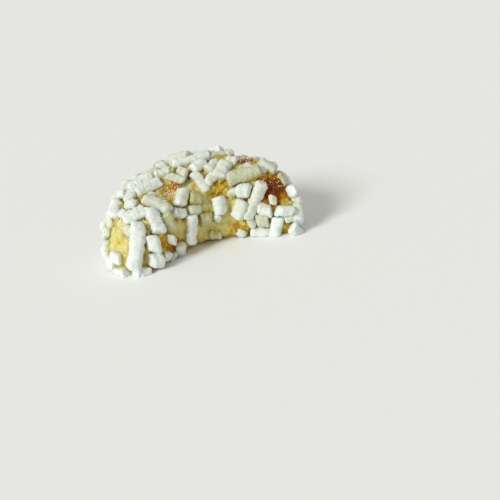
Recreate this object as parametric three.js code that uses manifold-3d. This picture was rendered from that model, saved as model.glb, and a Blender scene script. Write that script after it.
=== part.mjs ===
// A crescent cookie: a fat roll of soft dough bent into a crescent, baked on a flat underside and
// coated all over with pale nut slivers. Dough and slivers are baked into one piece, so they are one
// solid. Millimetres, +Z up. The crescent opens towards -Y, with its fat arm at -X and its thin arm
// at +X. The origin lies on the underside, in the middle of the cookie's length and depth.

import * as THREE from "three";
import { ParametricGeometry } from "three/addons/geometries/ParametricGeometry.js";
import { mergeVertices } from "three/addons/utils/BufferGeometryUtils.js";
import Module from "manifold-3d";

const wasm = await Module();
wasm.setup();

// The roll of dough, without its slivers.
const BEND_RADIUS = 25.5; // from the bend's centre to the middle of the roll
const HALF_BEND = 75; // degrees that each arm turns away from the crescent's middle
const BEND_CENTRE_X = 1.04; // where the bend's centre lies, seen from the origin
const BEND_CENTRE_Y = -21.76;
const HALF_WIDTH = 11.8; // at the crescent's middle
const HEIGHT = 22.3;
const FAT_ARM = { narrowing: 0.07, lowering: 0.22 }; // share lost from the middle to the arm's end
const THIN_ARM = { narrowing: 0.55, lowering: 0.06 };
const ARM_POWER = 1.6; // how late along an arm that loss comes
const END_POWER = 3.8; // how blunt the arms' ends are
const WIDEST_LEVEL = 0.38; // share of the height at which the roll is widest
const BELOW_TABLE = 1.3; // how far down the round underside reaches, before its flat cut
const SECTION_POWERS = { side: 0.88, top: 0.96, underside: 0.62 }; // 1 is round, less is squarer
const STEPS_ALONG = 38;
const STEPS_AROUND = 28;

// Soft lumps in the dough: how deep, as a share of the section, and how far apart.
const LUMPS = [
  { depth: 0.022, spacing: 1.55 },
  { depth: 0.012, spacing: 0.8 },
];

// A sliver is a stubby rod with cut ends.
const SLIVER_SIDES = 5;
const SLIVER_FLATNESS = 0.86; // thickness as a share of width
const CORNER_REACH = 1.08; // a section's corners stand out past its half width by this
const END_CHAMFER = 0.4; // share of the half width
const END_TAPER = 0.12; // most that one end is thicker, as a share
const SHOWING = 0.25; // a sliver's axis lies this share of its width above the dough

// The slivers that show most, laid one by one: degrees along the bend, degrees round the roll (0 is
// the outer side, 90 the top, 180 the inner side), length, width, and the turn from the roll's own
// direction.
const LAID_SLIVERS = [
  [-71, 92, 14.1, 4, 11],
  [52, 159, 11.8, 3.2, -83],
  [2, 94, 11.5, 3.2, -2],
  [42, 124, 10.4, 3.6, -32],
  [-26, 181, 8.7, 3.3, -72],
  [-48, 122, 8.3, 3.2, -87],
  [-37, 96, 8, 3.4, 32],
  [-36, 86, 7.6, 3.4, 38],
  [-58, 130, 7.5, 3.7, -44],
  [24, 87, 7.5, 2.2, -26],
  [2, 130, 7.2, 2.8, 73],
  [-41, 204, 7.1, 2.7, 70],
  [-58, 92, 6.8, 3.6, 60],
  [-52, 57, 6.4, 3.7, 9],
  [24, 121, 6, 4, -60],
  [-49, 150, 5.9, 3.6, -68],
  [39, 174, 5.8, 3.8, -72],
  [-18, 114, 5.6, 2.8, 58],
  [-24, 141, 5.5, 3.5, -35],
  [52, 76, 5.5, 3.6, -7],
  [-56, 16, 5.5, 2.6, -58],
  [18, 167, 5.4, 3.4, -90],
  [-23, 97, 4.9, 2.8, 28],
  [-68, 142, 4.7, 3.8, -39],
  [16, 112, 4.5, 3.2, -47],
  [43, 147, 4, 3.9, -10],
  [-70, 16, 3.9, 3, -24],
  [8, 199, 3.9, 2.2, 25],
  [-71, 178, 3.9, 3.8, 49],
  [-1, 179, 3.7, 3.4, 11],
  [-15, 164, 3.7, 2.8, 18],
  [62, 69, 3.7, 2.7, -4],
  [57, 183, 3.7, 3.6, -6],
  [-43, 61, 3.5, 2.8, -78],
  [-52, 85, 3.3, 3, 89],
  [-10, 152, 3.3, 3.2, 24],
  [-63, 189, 2.9, 2.8, 42],
  [-55, 175, 2.8, 2.7, -56],
];

// Spots where the dough lies bare: degrees along the bend, degrees round the roll, radius.
const BARE_SPOTS = [
  [-66, 44, 5.5],
  [-27, 122, 3.6],
  [37, 82, 4.4],
  [64, 112, 4],
  [21, 149, 4.2],
  [9, 192, 2.6],
  [29, 191, 4],
  [-52, 186, 3.2],
  [-33, 204, 3],
  [4, 158, 2.4],
  [-9, 192, 3.2],
  [-61, 171, 2.8],
  [-8, 131, 2.6],
  [-38, 175, 2],
];

// The other slivers come by rule: the longest first, each in the first free spot of an even series.
const SCATTERED_SLIVERS = 82;
const LONGEST = 10.5;
const SHORTEST = 3.2;
const SHORTENING_POWER = 0.6; // below 1, more slivers are short than long
const WIDEST = 3.9;
const NARROWEST = 2.7;
const SLIVER_GAP = -0.1; // below 0, neighbours press into each other
const TRIES = 200; // spots tried for one sliver before it is left out
const LOWEST_AROUND = -28; // degrees round the roll, just under its outer side
const HIGHEST_AROUND = 208; // and just under its inner side
const SERIES_ALONG = 0.7548776662; // steps of the even two-way series
const SERIES_AROUND = 0.569840291;
const SEED = 20417;

const AXIS_SHARES = [-0.5, -0.25, 0, 0.25, 0.5]; // where along a sliver its closeness is tested
const SEAT_STEP = 0.002; // between the skin points that give a seat's directions
const MERGE_DISTANCE = 1e-4;
const TABLE_SIZE = 160; // of the block that cuts the flat underside
const COOKIE_COLOUR = "#e6e2c4"; // pale crumb and near-white slivers together

// Gives draws between 0 and 1, the same ones for the same seed.
function drawsFrom(seed) {
  let state = seed;
  return () => {
    state = (state * 1664525 + 1013904223) % 4294967296;
    return state / 4294967296;
  };
}

function lumpiness(lumps, x, y, z) {
  let sum = 0;
  for (const { depth, spacing } of lumps) {
    const [a, b, c] = [x / spacing, y / spacing, z / spacing];
    const wave = Math.sin(a) * Math.cos(b) + Math.sin(b) * Math.cos(c) + Math.sin(c) * Math.cos(a);
    sum += depth * wave;
  }
  return sum;
}

// A point of the dough's skin: `along` runs from -1 to 1 over the bend, `around` is an angle.
function skinPoint(along, around, lumps = LUMPS, target = new THREE.Vector3()) {
  const arm = along < 0 ? FAT_ARM : THIN_ARM;
  const reach = Math.abs(along);
  const closing = Math.sqrt(Math.max(0, 1 - reach ** END_POWER));
  const halfWidth = HALF_WIDTH * (1 - arm.narrowing * reach ** ARM_POWER) * closing;
  const height = HEIGHT * (1 - arm.lowering * reach ** ARM_POWER) * closing;
  const [cos, sin] = [Math.cos(around), Math.sin(around)];
  const side = halfWidth * Math.sign(cos) * Math.abs(cos) ** SECTION_POWERS.side;
  const upper = WIDEST_LEVEL + (1 - WIDEST_LEVEL) * Math.abs(sin) ** SECTION_POWERS.top;
  const lower = WIDEST_LEVEL * (1 - BELOW_TABLE * Math.abs(sin) ** SECTION_POWERS.underside);
  const level = height * (sin > 0 ? upper : lower);
  const angle = THREE.MathUtils.degToRad(along * HALF_BEND);
  const [ahead, back] = [Math.sin(angle), Math.cos(angle)];
  const radius = BEND_RADIUS + side;
  const swell = 1 + lumpiness(lumps, radius * ahead, radius * back, level);
  const swollen = BEND_RADIUS + side * swell;
  return target.set(BEND_CENTRE_X + swollen * ahead, BEND_CENTRE_Y + swollen * back, level * swell);
}

// Where a sliver sits: the skin's point there, and the directions along, round and out of the roll,
// which the lumps don't tilt.
function seatAt(along, around) {
  const plain = (nearAlong, nearAround) => skinPoint(nearAlong, nearAround, []);
  const forward = plain(Math.min(1, along + SEAT_STEP), around);
  forward.sub(plain(Math.max(-1, along - SEAT_STEP), around)).normalize();
  const across = plain(along, around + SEAT_STEP).sub(plain(along, around - SEAT_STEP));
  const outward = across.cross(forward).normalize();
  const round = forward.clone().cross(outward);
  return { point: skinPoint(along, around), forward, round, outward };
}

// Where a sliver's axis runs. The angles are in degrees, and `turn` is from the roll's direction.
function layOut(along, around, length, width, turn) {
  const seat = seatAt(along / HALF_BEND, THREE.MathUtils.degToRad(around));
  const angle = THREE.MathUtils.degToRad(turn);
  const direction = seat.forward.multiplyScalar(Math.cos(angle));
  direction.addScaledVector(seat.round, Math.sin(angle));
  const centre = seat.point.addScaledVector(seat.outward, SHOWING * width);
  const axis = AXIS_SHARES.map((share) =>
    centre.clone().addScaledVector(direction, share * (length - width)),
  );
  return { centre, direction, outward: seat.outward, length, width, axis };
}

function isFree(sliver, others, bareSpots) {
  const near = (point, target, distance) => point.distanceTo(target) < distance;
  for (const other of others) {
    const reach = (sliver.width + other.width) / 2 + SLIVER_GAP;
    if (sliver.axis.some((point) => other.axis.some((target) => near(point, target, reach)))) {
      return false;
    }
  }
  return !bareSpots.some(({ centre, radius }) =>
    sliver.axis.some((point) => near(point, centre, radius + sliver.width / 2)),
  );
}

function layAllSlivers() {
  const slivers = LAID_SLIVERS.map((row) => layOut(...row));
  const bareSpots = BARE_SPOTS.map(([along, around, radius]) => {
    const seat = seatAt(along / HALF_BEND, THREE.MathUtils.degToRad(around));
    return { centre: seat.point, radius };
  });
  const draw = drawsFrom(SEED);
  let spot = 0;
  for (let i = 0; i < SCATTERED_SLIVERS; i++) {
    const smallness = (i / (SCATTERED_SLIVERS - 1)) ** SHORTENING_POWER;
    const length = LONGEST + (SHORTEST - LONGEST) * smallness;
    const width = NARROWEST + (WIDEST - NARROWEST) * draw();
    for (let tries = 0; tries < TRIES; tries++) {
      spot += 1;
      const along = HALF_BEND * (2 * ((0.5 + spot * SERIES_ALONG) % 1) - 1);
      const around = LOWEST_AROUND + (HIGHEST_AROUND - LOWEST_AROUND) * ((0.5 + spot * SERIES_AROUND) % 1);
      const sliver = layOut(along, around, Math.max(length, width), width, 180 * draw());
      if (isFree(sliver, slivers, bareSpots)) {
        slivers.push(sliver);
        break;
      }
    }
  }
  return slivers;
}

// Turns a three.js geometry into a closed solid: shared corners merged, empty triangles left out.
function closedSolid(geometry) {
  geometry.deleteAttribute("normal");
  geometry.deleteAttribute("uv");
  const merged = mergeVertices(geometry, MERGE_DISTANCE);
  const corners = merged.index.array;
  const kept = [];
  for (let i = 0; i < corners.length; i += 3) {
    const [a, b, c] = corners.slice(i, i + 3);
    if (a !== b && b !== c && c !== a) {
      kept.push(a, b, c);
    }
  }
  const vertProperties = merged.getAttribute("position").array;
  return new wasm.Manifold(new wasm.Mesh({ numProp: 3, vertProperties, triVerts: new Uint32Array(kept) }));
}

function doughSolid() {
  const surface = (u, v, target) =>
    skinPoint(Math.sin((v - 0.5) * Math.PI), u * 2 * Math.PI, LUMPS, target);
  return closedSolid(new ParametricGeometry(surface, STEPS_AROUND, STEPS_ALONG));
}

function sliverSolid(sliver, draw) {
  const halfLength = sliver.length / 2;
  const halfWidth = (CORNER_REACH * sliver.width) / 2;
  const chamfer = END_CHAMFER * halfWidth;
  const profile = [
    new THREE.Vector2(0, -halfLength),
    new THREE.Vector2(halfWidth - chamfer, -halfLength),
    new THREE.Vector2(halfWidth, -halfLength + chamfer),
    new THREE.Vector2(halfWidth, halfLength - chamfer),
    new THREE.Vector2(halfWidth - chamfer, halfLength),
    new THREE.Vector2(0, halfLength),
  ];
  const rod = new THREE.LatheGeometry(profile, SLIVER_SIDES);
  rod.rotateY(draw() * Math.PI);
  const taper = END_TAPER * (2 * draw() - 1);
  const corners = rod.getAttribute("position");
  for (let i = 0; i < corners.count; i++) {
    const thickness = 1 + (taper * corners.getY(i)) / halfLength;
    corners.setX(i, corners.getX(i) * thickness);
    corners.setZ(i, corners.getZ(i) * thickness * SLIVER_FLATNESS);
  }
  const across = sliver.direction.clone().cross(sliver.outward);
  const seat = new THREE.Matrix4().makeBasis(across, sliver.direction, sliver.outward);
  rod.applyMatrix4(seat.setPosition(sliver.centre));
  return closedSolid(rod);
}

function cookieGeometry() {
  const draw = drawsFrom(SEED);
  let cookie = doughSolid();
  for (const sliver of layAllSlivers()) {
    cookie = cookie.add(sliverSolid(sliver, draw));
  }
  const table = new THREE.BoxGeometry(TABLE_SIZE, TABLE_SIZE, TABLE_SIZE);
  table.translate(0, 0, -TABLE_SIZE / 2);
  const { vertProperties, triVerts } = cookie.subtract(closedSolid(table)).getMesh();
  const geometry = new THREE.BufferGeometry();
  geometry.setAttribute("position", new THREE.BufferAttribute(vertProperties, 3));
  geometry.setIndex(new THREE.BufferAttribute(triVerts, 1));
  geometry.computeVertexNormals();
  return geometry;
}

const material = new THREE.MeshStandardMaterial({ color: COOKIE_COLOUR, roughness: 0.85, metalness: 0 });
const cookie = new THREE.Mesh(cookieGeometry(), material);
cookie.name = "crescent_cookie";

const model = new THREE.Group();
model.add(cookie);
export default model;
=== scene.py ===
import math

import bmesh
import bpy
import numpy as np
from mathutils import Matrix, Vector, noise


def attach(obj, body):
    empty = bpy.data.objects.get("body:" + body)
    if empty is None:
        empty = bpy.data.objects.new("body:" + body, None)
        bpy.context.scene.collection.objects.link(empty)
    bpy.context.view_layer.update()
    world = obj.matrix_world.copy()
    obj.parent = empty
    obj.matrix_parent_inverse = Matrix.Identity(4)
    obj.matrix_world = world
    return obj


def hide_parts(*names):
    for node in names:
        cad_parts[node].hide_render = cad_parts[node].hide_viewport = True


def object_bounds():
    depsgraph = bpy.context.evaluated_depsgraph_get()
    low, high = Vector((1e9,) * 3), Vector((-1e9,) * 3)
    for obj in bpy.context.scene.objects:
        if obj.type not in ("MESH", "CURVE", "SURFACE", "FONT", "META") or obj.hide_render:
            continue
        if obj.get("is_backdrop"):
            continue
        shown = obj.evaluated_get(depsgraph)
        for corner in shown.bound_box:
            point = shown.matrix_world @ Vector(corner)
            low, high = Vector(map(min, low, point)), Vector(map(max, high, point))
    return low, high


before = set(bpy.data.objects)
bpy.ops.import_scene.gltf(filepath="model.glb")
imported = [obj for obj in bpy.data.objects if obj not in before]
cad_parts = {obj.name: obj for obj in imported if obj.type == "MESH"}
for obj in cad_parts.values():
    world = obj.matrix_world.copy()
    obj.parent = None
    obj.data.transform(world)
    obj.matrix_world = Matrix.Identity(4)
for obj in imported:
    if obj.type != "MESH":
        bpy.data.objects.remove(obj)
cad_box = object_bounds()

# ---- The roll's form ----------------------------------------------------------------------------
# A fat roll of soft short dough, bent by hand into a crescent with one arm fat and one thin. It was
# set down on its underside, which baked flat. Sizes are millimetres and angles are degrees.

MM = 0.001
BEND_RADIUS = 25.5
HALF_BEND = 75
BEND_CENTRE = (1.04, -21.76)
HALF_WIDTH = 11.8
HEIGHT = 22.3
ARM_NARROWING = (0.07, 0.55)  # share lost from the middle to the end of the fat and the thin arm
ARM_LOWERING = (0.22, 0.06)
ARM_POWER = 1.6
END_POWER = 3.8
WIDEST_LEVEL = 0.38
BELOW_TABLE = 1.3
SIDE_POWER, TOP_POWER, UNDERSIDE_POWER = 0.88, 0.96, 0.62  # 1 is round, less is squarer
LUMPS = ((0.022, 1.55), (0.012, 0.8))  # how deep, as a share of the section, and how far apart
SEAT_STEP = 0.002  # between the skin's points that give a seat's directions


def lumpiness(lumps, x, y, z):
    """How much the dough's soft lumps swell the section there, as a share."""
    total = 0
    for depth, spacing in lumps:
        a, b, c = x / spacing, y / spacing, z / spacing
        wave = np.sin(a) * np.cos(b) + np.sin(b) * np.cos(c) + np.sin(c) * np.cos(a)
        total = total + depth * wave
    return total


def skin_points(along, around, lumps=LUMPS):
    """Points of the dough's skin: along runs from -1 to 1 over the bend, around is an angle."""
    along, around = np.broadcast_arrays(np.asarray(along, float), np.asarray(around, float))
    reach = np.abs(along)
    narrowing = np.where(along < 0, *ARM_NARROWING)
    lowering = np.where(along < 0, *ARM_LOWERING)
    closing = np.sqrt(np.maximum(0, 1 - reach**END_POWER))
    half_width = HALF_WIDTH * (1 - narrowing * reach**ARM_POWER) * closing
    height = HEIGHT * (1 - lowering * reach**ARM_POWER) * closing
    cos, sin = np.cos(around), np.sin(around)
    side = half_width * np.sign(cos) * np.abs(cos) ** SIDE_POWER
    upper = WIDEST_LEVEL + (1 - WIDEST_LEVEL) * np.abs(sin) ** TOP_POWER
    lower = WIDEST_LEVEL * (1 - BELOW_TABLE * np.abs(sin) ** UNDERSIDE_POWER)
    level = height * np.where(sin > 0, upper, lower)
    angle = np.radians(along * HALF_BEND)
    ahead, back = np.sin(angle), np.cos(angle)
    radius = BEND_RADIUS + side
    swell = 1 + lumpiness(lumps, radius * ahead, radius * back, level)
    swollen = BEND_RADIUS + side * swell
    across, deep = BEND_CENTRE[0] + swollen * ahead, BEND_CENTRE[1] + swollen * back
    return np.stack((across, deep, level * swell), -1)


def unit(vector):
    return vector / np.linalg.norm(vector)


def seat_at(along, around):
    """The skin's point there, and the directions along, round and out of the roll."""
    alongs = (along, min(1, along + SEAT_STEP), max(-1, along - SEAT_STEP), along, along)
    arounds = (around, around, around, around + SEAT_STEP, around - SEAT_STEP)
    plain = skin_points(alongs, arounds, ())
    forward = unit(plain[1] - plain[2])
    outward = unit(np.cross(plain[3] - plain[4], forward))
    return skin_points(along, around), forward, np.cross(forward, outward), outward


# ---- Where the nut slivers lie ------------------------------------------------------------------
# Blanched nuts, cut into stubby slivers and pressed by hand into the raw dough. Those that show
# most are laid one by one, others fill the free places evenly, and broken bits lie in the gaps.

SHOWING = 0.25  # a sliver's axis lies this share of its width above the dough
AXIS_SHARES = (-0.5, -0.25, 0, 0.25, 0.5)  # where along a sliver its closeness is tested
# Degrees along the bend, degrees round the roll, length, width, turn from the roll's direction, and
# how much butter yellow the sliver takes: partly butter soaked in, partly painted shade on slivers
# that lie in shadow.
LAID_SLIVERS = (
    (-71, 92, 14.1, 4, 11, 0),
    (52, 159, 11.8, 3.2, -83, 0.25),
    (2, 94, 11.5, 3.2, -2, 0.05),
    (42, 124, 10.4, 3.6, -32, 0.65),
    (-26, 181, 8.7, 3.3, -72, 0.05),
    (-48, 122, 8.3, 3.2, -87, 0.35),
    (-37, 96, 8, 3.4, 32, 0.1),
    (-36, 86, 7.6, 3.4, 38, 0),
    (-58, 130, 7.5, 3.7, -44, 0.05),
    (24, 87, 7.5, 2.2, -26, 0.3),
    (2, 130, 7.2, 2.8, 73, 0.15),
    (-41, 204, 7.1, 2.7, 70, 0.3),
    (-58, 92, 6.8, 3.6, 60, 0),
    (-52, 57, 6.4, 3.7, 9, 0),
    (24, 121, 6, 4, -60, 0.25),
    (-49, 150, 5.9, 3.6, -68, 0.85),
    (39, 174, 5.8, 3.8, -72, 0.15),
    (-18, 114, 5.6, 2.8, 58, 0.3),
    (-24, 141, 5.5, 3.5, -35, 0.1),
    (52, 76, 5.5, 3.6, -7, 0.35),
    (-56, 16, 5.5, 2.6, -58, 0.1),
    (18, 167, 5.4, 3.4, -90, 0.05),
    (-23, 97, 4.9, 2.8, 28, 0.1),
    (-68, 142, 4.7, 3.8, -39, 0),
    (16, 112, 4.5, 3.2, -47, 0.3),
    (43, 147, 4, 3.9, -10, 0.1),
    (-70, 16, 3.9, 3, -24, 0),
    (8, 199, 3.9, 2.2, 25, 0.6),
    (-71, 178, 3.9, 3.8, 49, 0),
    (-1, 179, 3.7, 3.4, 11, 0.85),
    (-15, 164, 3.7, 2.8, 18, 0.5),
    (62, 69, 3.7, 2.7, -4, 0.6),
    (57, 183, 3.7, 3.6, -6, 0.55),
    (-43, 61, 3.5, 2.8, -78, 0),
    (-52, 85, 3.3, 3, 89, 0),
    (-10, 152, 3.3, 3.2, 24, 0.9),
    (-63, 189, 2.9, 2.8, 42, 0.05),
    (-55, 175, 2.8, 2.7, -56, 0.2),
)
BARE_SPOTS = (  # degrees along the bend, degrees round the roll, radius
    (-66, 44, 5.5),
    (-27, 122, 3.6),
    (37, 82, 4.4),
    (64, 112, 4),
    (21, 149, 4.2),
    (9, 192, 2.6),
    (29, 191, 4),
    (-52, 186, 3.2),
    (-33, 204, 3),
    (4, 158, 2.4),
    (-9, 192, 3.2),
    (-61, 171, 2.8),
    (-8, 131, 2.6),
    (-38, 175, 2),
)
SCATTERED_SLIVERS = 82  # as many as are asked for: some find no free place
LONGEST, SHORTEST = 10.5, 3.2
SHORTENING_POWER = 0.6  # below 1, more slivers are short than long
WIDEST, NARROWEST = 3.9, 2.7
SLIVER_GAP = -0.1  # below 0, neighbours press into each other
TRIES = 200  # places tried for one sliver before it is left out
LOWEST_AROUND, HIGHEST_AROUND = -28, 208  # degrees round the roll
SERIES = (0.7548776662, 0.569840291)  # steps of an even two-way series
SERIES_START = (0.5, 0.5)
SEED = 20417
DRAW_FACTOR, DRAW_STEP, DRAW_RANGE = 1664525, 1013904223, 2**32
# The scattered slivers draw their butter yellow and painted shade at random.
MOST_BUTTER_SHADE, BUTTER_SHADE_POWER = 0.36, 4  # a high power leaves most of the scattered slivers dry

BROKEN_BIT_TRIES = 259
BROKEN_BIT_START = (0.31, 0.77)
BROKEN_BIT_WIDTH = (1.9, 0.9)  # the smallest, and the most that is added
BROKEN_BIT_SHAPE = (1.05, 0.6)  # length over width: the least, and the most that is added
BROKEN_BIT_OVERLAP = 0.45  # how far a bit may lie under its neighbour
# Broken bits take a little of the butter yellow and painted shade.
BROKEN_BIT_BUTTER_SHADE = 0.15
BARE_SHARE = 0.8  # of a bare spot's radius, which bits stay out of


def lay_out(along, around, length, width, turn, soaked=0.0):
    """Where a sliver's axis runs, as a small record of its place, sizes and directions."""
    point, forward, sideways, outward = seat_at(along / HALF_BEND, math.radians(around))
    direction = forward * math.cos(math.radians(turn)) + sideways * math.sin(math.radians(turn))
    centre = point + outward * SHOWING * width
    axis = centre + np.outer(AXIS_SHARES, direction) * (length - width)
    return {
        "centre": centre, "direction": direction, "outward": outward,
        "length": length, "width": width, "axis": axis, "soaked": soaked,
    }


def draws_from(seed):
    """Draws between 0 and 1, the same ones for the same seed."""
    state = seed
    while True:
        state = (state * DRAW_FACTOR + DRAW_STEP) % DRAW_RANGE
        yield state / DRAW_RANGE


bare_centres = np.array([seat_at(a / HALF_BEND, math.radians(b))[0] for a, b, _ in BARE_SPOTS])
bare_radii = np.array([radius for _, _, radius in BARE_SPOTS])


def even_place(start, spot):
    """A place of the even series: degrees along the bend and degrees round the roll."""
    along = HALF_BEND * (2 * ((start[0] + spot * SERIES[0]) % 1) - 1)
    span = HIGHEST_AROUND - LOWEST_AROUND
    return along, LOWEST_AROUND + span * ((start[1] + spot * SERIES[1]) % 1)


def apart_from(axes, axis):
    """The least distance from one sliver's axis to each of the others."""
    return np.linalg.norm(axes[:, :, None] - axis[None, None], axis=-1).min((1, 2))


def apart_from_bare_spots(axis):
    """The least distance from one sliver's axis to the middle of each bare spot."""
    return np.linalg.norm(bare_centres[:, None] - axis[None], axis=-1).min(1)


def lay_all_slivers():
    """The laid slivers, then the scattered ones, the longest first, each in a free place."""
    laid = [lay_out(*row) for row in LAID_SLIVERS]
    draws = draws_from(SEED)
    spot = 0
    for i in range(SCATTERED_SLIVERS):
        smallness = (i / (SCATTERED_SLIVERS - 1)) ** SHORTENING_POWER
        length = LONGEST + (SHORTEST - LONGEST) * smallness
        width = NARROWEST + (WIDEST - NARROWEST) * next(draws)
        axes = np.array([sliver["axis"] for sliver in laid])
        reaches = (np.array([sliver["width"] for sliver in laid]) + width) / 2 + SLIVER_GAP
        for _ in range(TRIES):
            spot += 1
            along, around = even_place(SERIES_START, spot)
            soaked = MOST_BUTTER_SHADE * (spot * SERIES[0] % 1) ** BUTTER_SHADE_POWER
            sliver = lay_out(along, around, max(length, width), width, 180 * next(draws), soaked)
            from_others = apart_from(axes, sliver["axis"])
            from_bare = apart_from_bare_spots(sliver["axis"])
            if (from_others >= reaches).all() and (from_bare >= bare_radii + width / 2).all():
                laid.append(sliver)
                break
    return laid


def lay_broken_bits(laid):
    """Short bits, partly under their neighbours, in the gaps that the longer slivers leave."""
    draws = draws_from(SEED + 1)
    axes = np.array([sliver["axis"] for sliver in laid])
    widths = np.array([sliver["width"] for sliver in laid])
    bits = []
    for spot in range(1, BROKEN_BIT_TRIES + 1):
        along, around = even_place(BROKEN_BIT_START, spot)
        width = BROKEN_BIT_WIDTH[0] + BROKEN_BIT_WIDTH[1] * next(draws)
        length = width * (BROKEN_BIT_SHAPE[0] + BROKEN_BIT_SHAPE[1] * next(draws))
        bit = lay_out(along, around, length, width, 180 * next(draws), BROKEN_BIT_BUTTER_SHADE)
        from_others = apart_from(axes, bit["axis"])
        from_bare = apart_from_bare_spots(bit["axis"])
        free = (from_others >= (widths + width) / 2 - BROKEN_BIT_OVERLAP).all()
        if free and (from_bare >= bare_radii * BARE_SHARE).all():
            bits.append(bit)
            axes = np.concatenate((axes, bit["axis"][None]))
            widths = np.append(widths, width)
    return bits


slivers = lay_all_slivers()
slivers += lay_broken_bits(slivers)

# ---- The baked dough ----------------------------------------------------------------------------
# Soft short dough, baked until the parts that stand clear of the slivers turned golden to dark
# brown. It swelled round each sliver, sank in the narrow gaps, and is crumbly where it tore.

STEPS_ALONG = 330
STEPS_AROUND = 236
SIDES_FROM, SIDES_TO = -38, 218  # degrees round the roll, past which the underside is flat
STEPS_ON_SIDES = 0.86  # share of the steps round the roll
BULGE = 0.55  # how high the dough swells round a sliver
BULGE_REACH = 1.1
NARROW_GAP = (1.8, 0.4)  # a gap between two slivers starts to count, and counts in full
GAP_DEPTH = 0.45
# Uneven patterns: how far apart, in how many octaves, and a shift that tells one from another.
# A range says where in its pattern a thing begins, and where it is full.
TORN_NOISE = (6.5, 2, 3.1)
PATCH_NOISE = (4.0, 3, 11.9)
SWELL_NOISE = (2.6, 2, 5.2)
CRUMB_NOISE = (1.5, 3, 7.7)
FINE_NOISE = (0.55, 2, 1.3)
WANDER_SPACING, WANDER_OCTAVES, WANDER_SHIFTS = 2.0, 2, (1.9, 8.4, 14.2)
NOISE_ROUGHNESS, NOISE_STEP = 0.9, 2.1  # from one octave to the next
SHIFT_WAY = (1.0, 1.7, 0.6)
TORN_RANGE, PATCH_RANGE = (-0.1, 0.45), (0.22, 0.8)
FRIED_RANGE, HOLLOW_RANGE = (-0.6, 0.1), (0.2, -0.4)
SWELL_HEIGHT = 0.6
PALE_SMOOTHNESS, TORN_COARSENESS = 0.6, 0.5
PALE_WHOLENESS = 0.4  # how much less the pale dough tears
CRUMB_HEIGHT = (0.2, 0.4)  # on whole dough, and what is added where it tore
FINE_HEIGHT = (0.05, 0.08)
SPOT_SPREAD, SPOT_POWER = 0.9, 4  # a high power gives a spot a clear edge
WANDER = 1.4  # how far the toasted spots' edges stray
PATCH_TOAST, GAP_TOAST, CRUMB_TOAST = 0.5, 0.8, 0.2
TOASTED_ENOUGH = (0.1, 0.5)  # for the crumbs to show in the brown
RIM_TOAST, RIM_HEIGHT = 0.4, 2.6
# Painted shade: a golden darkening of the dough beside each sliver and in the crumb's hollows,
# where the creases lie in shadow.
CREASE_SHADE_REACH = (1.4, 0.1)  # from a sliver's side: where the gold begins, and where it is full
HOLLOW_SHADE_WEIGHT = 0.7
HOLLOW_SHADE_SHARE = (0.35, 0.65)  # on whole dough, and what is added where it tore
TOASTED_SPOTS = (  # degrees along the bend, degrees round the roll, radius, how brown
    (-30, 121, 4.2, 0.45),
    (-24, 124, 2.4, 0.7),
    (37, 81, 4.8, 0.8),
    (64, 112, 6.0, 1.0),
    (-52, 186, 3.6, 0.62),
    (-61, 171, 2.8, 0.54),
    (15, 98, 2.8, 0.5),
    (-51, 107, 2.2, 0.6),
    (-29, 160, 2.4, 0.5),
    (-18, 149, 2.0, 0.42),
    (38, 211, 4.0, 0.58),
    (46, 196, 3.0, 0.42),
    (36, 203, 3.8, 0.4),
    (-14, 204, 2.6, 0.22),
    (-67, 49, 1.8, 0.28),
    # Partly toast, partly painted shade: this spot darkens the torn patch as the shade in its deep
    # creases would.
    (21, 149, 3.6, 0.36),
    (-12, 38, 3.0, 0.6),
    (28, 22, 2.6, 0.75),
    (-44, 8, 3.0, 0.5),
    (8, -2, 2.4, 0.6),
    (60, 30, 2.6, 0.65),
)
TORN_SPOT = (21, 149, 6.0)  # degrees along the bend, degrees round the roll, radius
PALE_SPOTS = (  # where the dough stayed pale: the same three numbers
    (-66, 44, 8.0),
    TORN_SPOT,
    (9, 192, 4.0),
    # Painted light: this spot keeps the shaded lower inside pale, standing in for bounce light
    # there.
    (18, 190, 5.0),
    (27, 189, 4.0),
    (4, 158, 3.0),
    (-9, 192, 3.5),
)
CRUST_SHARES = (0.0, 0.22, 0.45, 0.72, 1.0)
# From pale crumb to dark crust.
CRUST_COLOURS = ("#d8d08e", "#d2c45c", "#c2961f", "#a86309", "#722f03")
# Painted shade: the crust colour is multiplied towards this gold in the creases.
CREASE_SHADE_GOLD = "#ecd356"
MOTTLE_SPACING = 1.1
CRUMB_SPACING, CRUMB_DEPTH = 0.4, 0.25
LIGHT_REACH = 1.0  # how deep light goes into the dough


def linear(code):
    """A colour written as sRGB hex, as the linear values that the shaders take."""
    values = [int(code[i : i + 2], 16) / 255 for i in (1, 3, 5)]
    return [v / 12.92 if v <= 0.04045 else ((v + 0.055) / 1.055) ** 2.4 for v in values] + [1.0]


def add(tree, kind, inputs=None, **settings):
    """Adds a node. An input takes a value, an output, or a node, for its first output in use."""
    node = tree.nodes.new(kind)
    for name, value in settings.items():
        setattr(node, name, value)
    for key, value in (inputs or {}).items():
        named = [socket for socket in node.inputs if socket.name == key and socket.enabled]
        socket = node.inputs[key] if isinstance(key, int) else named[0]
        if isinstance(value, bpy.types.Node):
            value = next(output for output in value.outputs if output.enabled)
        if isinstance(value, bpy.types.NodeSocket):
            tree.links.new(value, socket)
        else:
            socket.default_value = value
    return node


def empty_material(name):
    material = bpy.data.materials.new(name)
    material.use_nodes = True
    material.node_tree.nodes.clear()
    return material


def smooth_step(low, high, values):
    """A soft rise from 0 at low to 1 at high, or a fall where low is the higher one."""
    share = np.clip((values - low) / (high - low), 0, 1)
    return share * share * (3 - 2 * share)


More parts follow.
